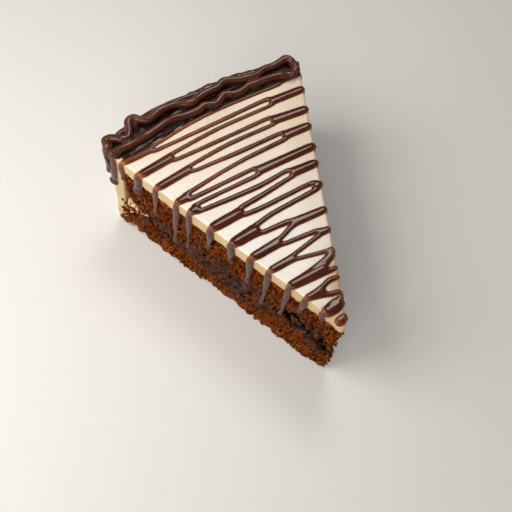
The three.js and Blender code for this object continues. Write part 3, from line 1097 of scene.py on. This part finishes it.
def make_cream():
    """The slab on top and the wall behind, as one body."""
    block = Block(*room_round(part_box("cream"), 1.5), CREAM_STEP)
    x, y, z = block.grid()
    x2, y2 = x[:, :, 0], y[:, :, 0]
    cuts = soft_cut(past_left(x2, y2), past_right(x2, y2), 1.0)
    plan = soft_cut(cuts, 1.6 - y2 + 0 * x2, 1.0)[:, :, None]
    plan = soft_cut(plan, wall_face(x, y, z), 1.2)
    top = z - cream_top(x2, y2)[:, :, None]
    slab = (upper_top(x2, y2) + LAYER_GAP)[:, :, None] - z
    inner = WALL - 2.6 * (1 - smooth_step(2, 13, z))
    wall = np.maximum(-past_rim(x, y) - inner, 0.5 - z)
    block.d = soft_cut(soft_cut(plan, top, 0.5), np.minimum(slab, wall), 0.4).astype(np.float32)
    at, points = near_surface(block, 1.5)
    low_edge = 1 - smooth_step(1.2, 2.6, points[:, 2] - upper_top(points[:, 0], points[:, 1]))
    block.d[at] += low_edge * (0.2 * noise(points, (3, 3, 2), 51) + 0.15 * noise(points, (1.2, 1.2, 1), 52))
    block.d[at] += 0.06 * noise(points, (9, 9, 5), 53)
    slit = np.array([[0.12, 0.99, 0], [0.99, -0.12, 0], [0, 0, 1]]) @ cut_axes(-1)
    blob(block, on_cut(-1, 104.2, 15.5, 0), (2.2, 0.42, 0.9), slit, False, 0.2)
    vertices, quads = drop_loose_bits(*net(block))
    vertices = relax(vertices, quads, 1)
    vertices[:, 2] = np.maximum(vertices[:, 2], 0.0)
    x, y, z = vertices.T
    out = outward(vertices, quads)
    from_centre = (out[:, 0] * (x - CAKE_CENTRE[0]) + out[:, 1] * (y - CAKE_CENTRE[1])) / CAKE_RADIUS
    # The top and the outer wall are marked here; the cut faces get the yellower colour, partly their own,
    # partly a painted warm bounce.
    on_top = np.where(z > UPPER_TOP + 3, out[:, 2], 0)
    skin = np.maximum(on_top, np.where(past_rim(x, y) > -3, from_centre, 0))
    # Painted shade: the right edge and the tip are marked to be painted darker tan.
    thin = (1 - smooth_step(1.5, 8.0, -past_right(x, y))) * (1 - smooth_step(18, 38, y))
    thin = np.maximum(thin, 1 - smooth_step(4, 13, y + 0.8 * x))
    thin = np.maximum(thin, 0.3 * (1 - smooth_step(2, 14, -past_right(x, y))))
    values = {"skin": skin, "thin": thin}
    vertices, quads, values = thin_out(vertices, quads, values, CREAM_BURIED, CREAM_CELL)
    return make_piece("cream_cover", vertices, quads, CREAM, ["cream"], values)


make_cream()

# %% [markdown]
# ## Loose crumbs
# A knife drags crumbs out of the sponge and leaves them on the cut faces, most of all at the foot of the
# wall. They are small lumps, pressed into the face so that none hangs in the air. Flecks of cream from
# the seam lie among them.

# %% Crumbs and flecks of cream
CRUMB_STEP = 0.3
# Where crumbs gather on a cut: distance along it, height, spread along and up, how many.
CRUMB_HEAPS = [
    (100.2, 4, 2, 3, 46), (100.2, 12, 0.9, 4, 26), (97, 18, 3, 2.2, 34), (90, 20, 3, 1.4, 16),
    (60, 21, 28, 6, 46), (24, 20, 9, 6, 24), (7, 22, 4, 7, 20), (55, 39.8, 30, 0.7, 40),
]
FLECK_HEAPS = [(96.5, 15.0, 2.8, 2.4, 15), (99.5, 9, 1.2, 2.5, 4), (89, 18.5, 3.0, 0.8, 5)]


def in_pocket(side, along, up):
    """Whether a place on a cut face lies in one of the hollows."""
    return any(
        ((along - at) / half_length) ** 2 + ((up - height) / half_height) ** 2 < 1.1
        for at, height, half_length, half_height, _ in pockets_of(side)
    )


def heap(block, random, heaps, smallest, largest):
    """Presses small lumps into both cut faces, gathered where the heaps say."""
    nearest, furthest, lowest, highest = 3.5, 103.6, 0.9, 41.5
    for side in (-1, 1):
        for along, height, length, rise, count in heaps:
            for _ in range(count):
                at = min(along + random.normal(0, 0.6 * length), furthest)
                up = float(np.clip(height + random.normal(0, 0.6 * rise), lowest, highest))
                size = smallest + (largest - smallest) * random.beta(1.2, 3.5)
                radii = size * random.uniform(0.6, 1.15, 3)
                if in_pocket(side, at, up):
                    continue
                place = on_cut(side, max(at, nearest), up, random.uniform(0.0, 0.35))
                blob(block, place, radii, cut_axes(side), True, 0.1)


def make_crumbs(name, heaps, material, seed, smallest, largest):
    """All crumbs of one kind as one piece, cut flat just inside the faces they stick to."""
    random = np.random.default_rng(seed)
    block = Block((-45, 0, -1), (45, 101, 43), CRUMB_STEP)
    heap(block, random, heaps, smallest, largest)
    crumble(block, [(0.7, 0.9, seed)], 0.8)
    x, y, z = block.grid()
    inside = past_cuts(x, y) + 0.9
    block.d = np.maximum(np.maximum(block.d, -inside), 0.05 - z).astype(np.float32)
    vertices, quads = drop_loose_bits(*net(block), 12)
    values = {"pore": sunk(vertices, quads), "bottom": 1 - smooth_step(2.0, 9.0, vertices[:, 2])}
    return make_piece(name, vertices, quads, material, (), values)


make_crumbs("pulled_crumbs", CRUMB_HEAPS, SPONGE, 91, 0.4, 1.15)
make_crumbs("cream_flecks", FLECK_HEAPS, CREAM, 95, 0.35, 0.95)

# %% [markdown]
# ## Chocolate: its colours
# Runny sauce lets light through where it is thin: orange at the edges of a thread and where it bends
# over the edge of the slice, dark and glossy in a pool. The ropes are thicker and have set, so they are
# red-brown on top and a little duller; low in the band and in the clefts they are painted black as
# painted shade. Both finishes read the depth of the chocolate from the vertices.

# %% Chocolate finishes
def build_sauce(nodes):
    mottle = use_group(nodes, MOTTLE, Coarse_Scale=90.0, Fine_Scale=700.0)
    rise = nodes.at_vertices("rise")
    deep = nodes.mix(mottle["Mottle"], (0.046, 0.0076, 0.0014), (0.080, 0.0155, 0.0034))
    body = nodes.mix(nodes.ramp(rise, 0.25, 0.7), (0.17, 0.040, 0.006), deep)
    uneven = nodes.maths("MULTIPLY", mottle["Mottle"], 0.05)
    return {
        "Base Color": nodes.mix(nodes.ramp(rise, 0.05, 0.27), (0.34, 0.080, 0.008), body),
        "Roughness": nodes.maths("ADD", nodes.ramp(rise, 0.5, 0.9, 0.26, 0.11), uneven),
        "Specular IOR Level": 0.42,
    }


def build_rope(nodes):
    mottle = use_group(nodes, MOTTLE, Coarse_Scale=120.0, Fine_Scale=900.0)
    rise = nodes.at_vertices("rise")
    # Painted shade: near-black where the chocolate lies low in the band and in the clefts.
    low = nodes.mix(mottle["Mottle"], (0.006, 0.0010, 0.0003), (0.016, 0.0034, 0.0010))
    high = nodes.mix(mottle["Mottle"], (0.056, 0.0135, 0.0048), (0.106, 0.031, 0.0130))
    bump = nodes.node("Bump", Strength=0.06, Distance=0.0002, Height=mottle["Fine"])
    uneven = nodes.maths("MULTIPLY", mottle["Mottle"], 0.08)
    return {
        "Base Color": nodes.mix(nodes.ramp(rise, 0.8, 3.2), low, high),
        "Roughness": nodes.maths("ADD", nodes.ramp(rise, 0.4, 1.8, 0.5, 0.15), uneven),
        "Normal": bump.outputs["Normal"],
        "Specular IOR Level": 0.45,
    }


SAUCE = new_material("runny chocolate sauce", build_sauce)
ROPE = new_material("set chocolate ropes", build_rope)
print("finishes:", [m.name for m in (SAUCE, ROPE)])

# %% [markdown]
# ## Lines of the border
# Three ropes were piped along the rim by a hand that swung from side to side. The outer one made two
# hairpins over the edge near the left cut before it ran straight. Thin threads dripped between them.

# %% Lines of the border
ROPE_RADIUS = 1.55
# Middle lines of the ropes, (x, y) in mm.
OUTER_ROPE = [
    (-39.8, 98.6), (-39.4, 101.4), (-37, 101.2), (-34.2, 99.3), (-31.6, 99), (-30, 101.6),
    (-28.6, 105), (-26.2, 105.4), (-24.2, 103.6), (-21.6, 102.5), (-18.6, 103.4), (-15.6, 104.2),
    (-11.6, 104.2), (-8.6, 103.5), (-5.6, 102.3), (-3.6, 102.2), (-0.6, 103.2), (3.4, 103.8),
    (7.4, 103.8), (10.4, 105.2), (13.4, 104.7), (16.4, 103.4), (19.4, 102.8), (23.4, 102.4),
    (27.4, 103.4), (31, 103.2), (34.5, 103.6), (37.4, 103.9), (38.7, 102.2), (38.6, 99.6),
    (38.4, 97.8),
]
INNER_ROPE = [
    (-39.6, 95.4), (-35.6, 95.8), (-30.6, 96.2), (-25.6, 96.8), (-20.6, 97.9), (-16.6, 98.9),
    (-12.6, 99), (-8.6, 98.4), (-3.6, 98.4), (-0.6, 99.2), (2.4, 98.1), (4.4, 98.2), (8.4, 100.2),
    (11.4, 98.9), (15.4, 98.8), (18.4, 99.7), (21.4, 99.4), (27.4, 99.2), (31.4, 98.4), (34.4, 97.4),
    (36.2, 96.6),
]
BACK_ROPE = [
    (-36.6, 100.4), (-33.5, 102.4), (-30, 103.2), (-25.5, 104.2), (-18.5, 105.4), (-10.5, 106),
    (-0.5, 105.6), (4.5, 106.2), (9.5, 105.6), (16.5, 105.8), (21.5, 104.8), (29.5, 104.2),
    (35, 103.2),
]
# Thin threads between the ropes and in front of them: how far in from the rim each begins and ends,
# then its first and last angle.
BAND_THREADS = [
    (4.2, 4.2, -12, 2), (5.1, 5.1, -14, 10), (3.3, 3.3, 13, 21), (4.6, 4.6, 14, 21.5),
    (6.2, 9, -21.5, -6), (7.6, 9.8, -19.5, -9), (8.8, 8.8, -2, 13),
]


def rope(points, z, radius, random, wobble=0.12):
    """Gives a middle line its height and its thickness, both a little unsteady."""
    laid = []
    for x, y in points:
        laid.append((x, y, z + random.uniform(-wobble, wobble), radius * random.uniform(0.93, 1.07)))
    return laid


def band_front(x):
    return 96.7 - 3.0 * (1 - smooth_step(-35, 0, x))


print("ropes with", [len(line) for line in (OUTER_ROPE, INNER_ROPE, BACK_ROPE)], "points")
print(len(BAND_THREADS), "thin threads between them")

# %% [markdown]
# ## Border
# The chocolate sank into a thin band on the cream before it set, and the ropes lie in that band. Threads
# of one pass join sharply. Two ends hang over the left corner, one thick, one thin.

# %% Border: band and ropes
CHOCOLATE_STEP = 0.36


def make_border():
    """The band, the threads in it, the three ropes and the ends that hang over the left corner."""
    random = np.random.default_rng(61)
    block = Block((-47, 84, 24), (47, 112, 53), CHOCOLATE_STEP)
    x, y, z = block.grid()
    x2, y2 = x[:, :, 0], y[:, :, 0]
    plan = soft_cut(soft_cut(past_left(x2, y2), past_right(x2, y2), 1), band_front(x2) - y2, 0.8)
    plan = soft_cut(plan, past_rim(x2, y2, -0.4), 0.8)[:, :, None]
    top = z - (cream_top(x2, y2) + 0.5)[:, :, None]
    bottom = (cream_top(x2, y2) - 0.5)[:, :, None] - z
    block.d = soft_cut(soft_cut(plan, top, 0.4), bottom, 0.3).astype(np.float32)
    roughen(block, [(0.3, (2.6, 2.0), 63)], 1.5)
    for inset, end_inset, first, last in BAND_THREADS:
        angles, insets = np.radians(np.linspace(first, last, 6)), np.linspace(inset, end_inset, 6)
        points = [rim_point(a, i + random.uniform(-0.4, 0.4)) for a, i in zip(angles, insets)]
        thread(block, rope(points, CREAM_TOP + 0.7, 0.6, random, 0.05), 0.2)
    rest = CREAM_TOP + 1.9
    thread(block, rope(BACK_ROPE, CREAM_TOP + 0.9, 1.3, random), 0.3)
    thread(block, rope(INNER_ROPE, rest, ROPE_RADIUS, random), 0.2)
    thread(block, rope(OUTER_ROPE, rest + 0.4, ROPE_RADIUS, random), 0.2)
    blob(block, (-27.6, 103.2, CREAM_TOP + 0.8), (2.2, 2.4, 1.2), None, True, 0.8)
    # The ends that hang over the left corner: one down the outer wall with a web beside it, and a thin
    # one across the corner.
    hang = [(-39.6, 98.6, rest, 1.5), (-40.3, 99.0, 47.6, 1.5), (-40.1, 99.3, 44.5, 1.55)]
    hang += [(-39.8, 99.3, 40, 1.45), (-39.7, 99.2, 36, 1.4), (-39.6, 99.1, 33.5, 1.7)]
    thread(block, hang, 0.5)
    web = [(-39.2, 98.2, 47, 1.3), (-39.1, 98, 44, 1.35), (-39, 97.9, 40, 1.2), (-39, 97.9, 36.5, 0.9)]
    thread(block, web, 0.8)
    across = [(-38.5, 98, rest + 0.8, 0.65), (-40.2, 97.8, 48.3, 0.65), (-41.2, 98.4, 45, 0.65)]
    across += [(*on_cut(-1, 105.4, 41.5, -0.4), 0.65), (*on_cut(-1, 103.4, 38.8, -0.5), 0.7)]
    thread(block, across, 0.4)
    vertices, quads = drop_loose_bits(*net(block))
    vertices = relax(vertices, quads, 1)
    nodes = ["border_band", "border_rope_outer", "border_rope_inner"]
    x, y, z = vertices.T
    # rise is the mask for painted shade: low in the band and clefts; the hanging ends and all below the top
    # are raised so they stay red-brown.
    hanging = smooth_step(0.3, 1.5, np.maximum(past_left(x, y), past_rim(x, y)))
    values = {"rise": outside_slice(x, y, z) + 2.0 * hanging + 3.0 * (1 - smooth_step(44.5, 47, z))}
    return make_piece("chocolate_border", vertices, quads, ROPE, nodes, values)


make_border()

# %% [markdown]
# ## Turns of the zig-zag
# A spoon swung from side to side while the slice lay still. At each turn two threads run together into a
# pool near the edge and part further in. A turn is written as the place of the pool and the place where
# its threads part; the threads are then drawn from one turn to the next.

# %% The zig-zag
# Each turn: side of the slice, y at the edge, where its two threads part (x, y), width of the pool they
# make, then the y of the next thread where it crosses the middle of the slice.
TURNS = [
    (1, 96.9, 30.0, 96.9, 2.6, 96.4),
    (-1, 91.5, -26.0, 91.9, 3.4, 91.6),
    (1, 90.3, 23.5, 90.7, 4.0, 89.0),
    (-1, 84.3, -21.5, 85.6, 4.0, 84.3),
    (1, 81.9, 20.0, 83.1, 4.2, 81.3),
    (-1, 77.0, -18.0, 78.4, 3.8, 76.7),
    (1, 75.0, 20.5, 75.4, 4.1, 73.0),
    (-1, 68.6, -23.5, 68.9, 3.8, 67.4),
    (1, 66.7, 4.0, 66.7, 4.0, 65.6),
    (-1, 63.0, -23.0, 63.2, 4.0, 61.0),
    (1, 60.2, 14.5, 60.4, 4.1, 57.3),
    (-1, 54.2, -10.3, 54.9, 4.4, 53.0),
    (1, 52.0, 19.0, 52.0, 4.2, 49.3),
    (-1, 45.6, -9.0, 46.3, 4.8, 44.2),
    (1, 42.3, 4.5, 42.8, 3.5, 40.8),
    (-1, 37.9, -4.3, 38.6, 3.9, 37.1),
    (1, 34.9, 10.3, 35.2, 3.4, 32.7),
    (-1, 30.8, -3.0, 31.2, 3.5, 28.0),
    (1, 27.9, 9.2, 27.5, 2.7, 24.9),
]
THREAD_RADIUS, THREAD_FLAT, POOL_FLAT = 1.2, 0.7, 0.62
# How far in from the edge a thread ends and runs level with its pool, in mm.
END_INSET, LEVEL_INSET = 0.8, 2.4
# A thread crosses the middle at its own y only if both pools end further out than this, in mm.
MIDDLE_ROOM = 8


def edge_x(side, y):
    return side * y * tan(HALF_ANGLE)


def on_top(x, y, radius):
    """A point of a thread that has sunk a little into the cream."""
    return (x, y, float(cream_top(x, y)) + 0.05, radius)


def lay_pool(block, side, edge_y, part_x, part_y, width):
    """The web of sauce between the two threads that meet in a turn."""
    start = edge_x(side, edge_y) - side * 1.2
    steps = np.linspace(0, 1, max(2, int(abs(start - part_x) / 3)) + 1)
    radius = 0.5 * width - 0.35
    points = []
    for t in steps:
        x, y = start + (part_x - start) * t, edge_y + (part_y - edge_y) * t
        points.append(on_top(x, y, radius * (1 - 0.12 * t)))
    thread(block, points, 0.5, POOL_FLAT)


def zig_zag(block, random):
    """Lays a thread from each turn to the following one, and the pool of each turn."""
    for turn, following in zip(TURNS, TURNS[1:]):
        side, edge_y, part_x, part_y, width, middle_y = turn
        side2, edge2_y, part2_x, part2_y, width2, _ = following
        near, far = width / 2 - THREAD_RADIUS, width2 / 2 - THREAD_RADIUS
        edge, edge2 = edge_x(side, edge_y), edge_x(side2, edge2_y)
        path = [
            (edge - END_INSET * side, edge_y - 0.1),
            (edge - LEVEL_INSET * side, edge_y - near),
            (part_x + 0.6 * side, part_y - near - 0.25),
            (part_x - 2.4 * side, part_y - near - 0.7),
        ]
        if part_x * side > MIDDLE_ROOM and part2_x * side2 > MIDDLE_ROOM:
            path.append((0.0, middle_y))
        path += [
            (part2_x - 2.4 * side2, part2_y + far + 0.7),
            (part2_x + 0.6 * side2, part2_y + far + 0.25),
            (edge2 - LEVEL_INSET * side2, edge2_y + far),
            (edge2 - END_INSET * side2, edge2_y + 0.1),
        ]
        thin = 0.78 + 0.17 * smooth_step(28, 46, edge_y) - 0.16 * smooth_step(50, 90, edge_y)
        radii = [THREAD_RADIUS * thin * random.uniform(0.93, 1.07) for _ in path]
        thread(block, [on_top(x, y, radius) for (x, y), radius in zip(path, radii)], 0.45, THREAD_FLAT)
        lay_pool(block, side, edge_y, part_x, part_y, width)


print(len(TURNS), "turns")

# %% [markdown]
# ## Short passes and runs
# Near the tip the passes are short and close, and flow together into blobs. Where a pool reached the
# edge, sauce ran down the cut: wide at the top, thin below, with a drop at its end.

# %% Short passes near the tip, and runs down the faces
TIP_PASSES = [
    [(10.6, 27.0), (8, 26), (4.5, 25.1), (0, 24.3), (-5, 23.6), (-9, 22.9)],
    [(9.8, 25.6), (7.2, 24.5), (5, 23.6), (0, 23), (-8.6, 22.6)],
    [(-8.8, 22), (-4, 21.5), (2, 21.4), (8.0, 21.2)],
    [(6.8, 18.0), (3.5, 18.2), (0.5, 17.4), (-3, 16.8), (-6.4, 16.3)],
    [(-6.2, 15.9), (-2, 14.9), (1.6, 13.8), (4.5, 13.0), (4.0, 11.2)],
    [(-3.4, 9.9), (-1, 10.6), (1.6, 11.0), (3.5, 10.6)],
    [(-3.3, 8.0), (-1, 7.8), (1.6, 8.2), (3.3, 9.0)],
    [(-1.6, 4.6), (0, 5.0), (1.5, 5.1)],
    [(-1.5, 3.4), (0, 3.5), (1.3, 4.0)],
]
TIP_POOLS = [
    (-1, 22.7, 4.5, 22.9, 4.4), (-1, 16.3, -0.2, 15.9, 3.6), (-1, 9, 2.2, 9.5, 4.6),
    (-1, 4, 0.9, 4.4, 3.4),
]
TIP_THREAD_RADIUS = THREAD_RADIUS * 0.93
# Each run: distance along the left cut, height of its end, width at the top, width of its lower part.
LEFT_RUNS = [
    (103.3, 28.0, 3.6, 3.4),
    (99.4, 36.0, 3.0, 2.4),
    (91.5, 34.0, 4.2, 4.2),
    (83.5, 28.0, 3.0, 1.9),
    (74.0, 17.5, 3.1, 2.2),
    (68.2, 20.0, 3.0, 1.6),
    (58.6, 31.0, 3.6, 2.2),
    (49.5, 34.0, 3.8, 2.8),
    (41.0, 28.0, 3.6, 2.4),
    (33.2, 19.0, 3.2, 2.0),
    (24.6, 21.0, 3.0, 1.9),
    (17.6, 34.0, 3.0, 2.3),
    (10.3, 39.8, 3.0, 2.2),
]
# The runs down the right cut: the lowest and the highest of their ends, then the same two widths.
RIGHT_RUN_ENDS, RIGHT_RUN_WIDTHS = (30, 41), (3.0, 2.0)


def run_down(block, side, along, end, top_width, low_width, random):
    """Sauce that went over the edge: wide at the edge, thinner down the face, with a drop at its end."""
    face = cut_axes(side)[2]
    start = float(cream_top(*on_cut(side, along, 0)[:2]))
    length = start - end
    lean = random.uniform(-0.7, 0.7)
    middle = (top_width + low_width) / 2
    # (share of the length, width, distance out of the face)
    shape = [(0.25, top_width, 0.0), (0.45, middle, 0.1), (0.62, low_width, 0.15)]
    shape.append((0.8, 0.8 * low_width, 0.15))
    points = [
        (*on_cut(side, along, start - 0.9, 0.5), 0.38 * top_width),
        (*on_cut(side, along, start - 1.8, 0.05), 0.45 * top_width),
    ]
    for share, width, out in shape:
        down = 2.0 + (length - 2.0) * share
        slide = lean * share**2 + random.uniform(-0.15, 0.15)
        place = on_cut(side, along + slide, start - down, -out)
        points.append((*place, width / 2 * random.uniform(0.92, 1.05)))
    drop = low_width / 2 * 1.25
    points.append((*on_cut(side, along + lean, end + drop, -0.3), drop))
    thread(block, points, 0.5, 0.58, face)


print(len(TIP_PASSES), "short passes;", len(LEFT_RUNS), "runs down the left cut")

# %% [markdown]
# ## The sauce as one sheet
# All of the sauce goes into one field, so that a pool, its threads and its run are a single skin. What
# would lie deep in the cream is taken away again. Where the sheet bends over the edge it is thinnest.
# Far back on the left its depth is counted less, so it is painted lighter and more orange as painted back
# light.

# %% The sauce as one sheet
def depth_with_painted_back_light(vertices):
    """Depth of the sauce. It is thinnest where it bends over the edge of a cut; far back on the left it is
    made smaller for a painted back light.
    """
    x, y, z = vertices.T
    to_edge_2 = (past_cuts(x, y) + 0.3) ** 2 + (z - cream_top(x, y) - 0.3) ** 2
    # Painted back light: far back on the left the sauce is painted lighter and more orange.
    painted_back_light = 0.3 * smooth_step(62, 92, y) * (1 - smooth_step(-15, 20, x))
    return outside_slice(x, y, z) * (1 - 0.66 * np.exp(-to_edge_2 / 0.9) - painted_back_light)


def hollow_out(block, skin=0.5):
    """Takes away what would lie deeper inside the slice than the skin."""
    x, y, z = block.grid()
    block.d = np.maximum(block.d, -skin - outside_slice(x, y, z)).astype(np.float32)


def make_drizzle():
    """Zig-zag, short passes, pools and runs in one field, so that all the sauce is one sheet."""
    random = np.random.default_rng(71)
    block = Block((-45, -2, 14), (45, 106, 50), CHOCOLATE_STEP)
    zig_zag(block, random)
    for points in TIP_PASSES:
        thread(block, [on_top(x, y, TIP_THREAD_RADIUS) for x, y in points], 0.55, THREAD_FLAT)
    for pool in TIP_POOLS:
        lay_pool(block, *pool)
    for run in LEFT_RUNS:
        run_down(block, -1, *run, random)
    for side, edge_y, *_ in TURNS:
        if side > 0:
            end = random.uniform(*RIGHT_RUN_ENDS)
            run_down(block, 1, edge_y / cos(HALF_ANGLE), end, *RIGHT_RUN_WIDTHS, random)
    hollow_out(block)
    vertices, quads = drop_loose_bits(*net(block))
    vertices = relax(vertices, quads, 4)
    return make_piece(
        "sauce_zig_zag", vertices, quads, SAUCE, (), {"rise": depth_with_painted_back_light(vertices)}
    )


make_drizzle()

# %% [markdown]
# ## Size
# The finished slice must fill the same box as its plain solids.
